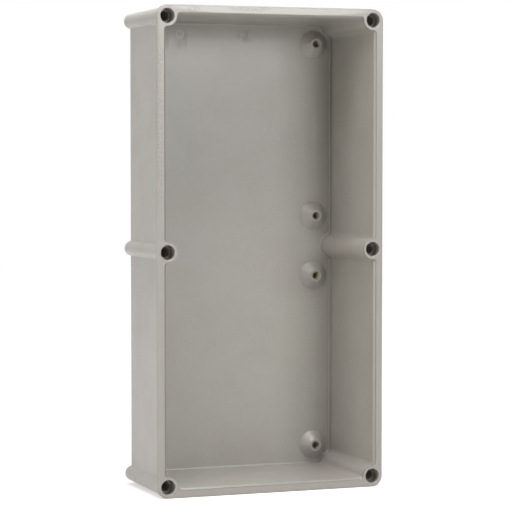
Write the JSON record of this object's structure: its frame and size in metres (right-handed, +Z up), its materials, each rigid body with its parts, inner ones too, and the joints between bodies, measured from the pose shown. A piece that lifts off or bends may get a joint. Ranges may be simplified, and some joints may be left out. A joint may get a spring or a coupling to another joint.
{
  "type": "polyester enclosure base",
  "caption": "Open base of a pressed polyester wall enclosure: drafted walls, rim flange, screw columns for a lid, and mounting bosses with brass inserts.",
  "frame": {"origin": "centre of the bounding box's bottom, under the middle of the box", "axes": "+Z up along the long side, +Y from the open mouth towards the back, +X across, to the right of someone who looks into the mouth"},
  "size_m": [0.27, 0.125, 0.54],
  "materials": {
    "polyester": "pressed glass-fibre polyester, light warm grey, soft satin",
    "brass": "turned, slightly dulled"
  },
  "bodies": {
    "root": {"enclosure_base": "polyester", "boss_insert_bottom_left": "brass", "boss_insert_lower_left": "brass", "boss_insert_upper_left": "brass", "boss_insert_top_left": "brass", "boss_insert_bottom_right": "brass", "boss_insert_lower_right": "brass", "boss_insert_upper_right": "brass", "boss_insert_top_right": "brass", "lid_insert_bottom_left": "brass", "lid_insert_middle_left": "brass", "lid_insert_top_left": "brass", "lid_insert_bottom_right": "brass", "lid_insert_middle_right": "brass", "lid_insert_top_right": "brass"}
  },
  "joints": []
}
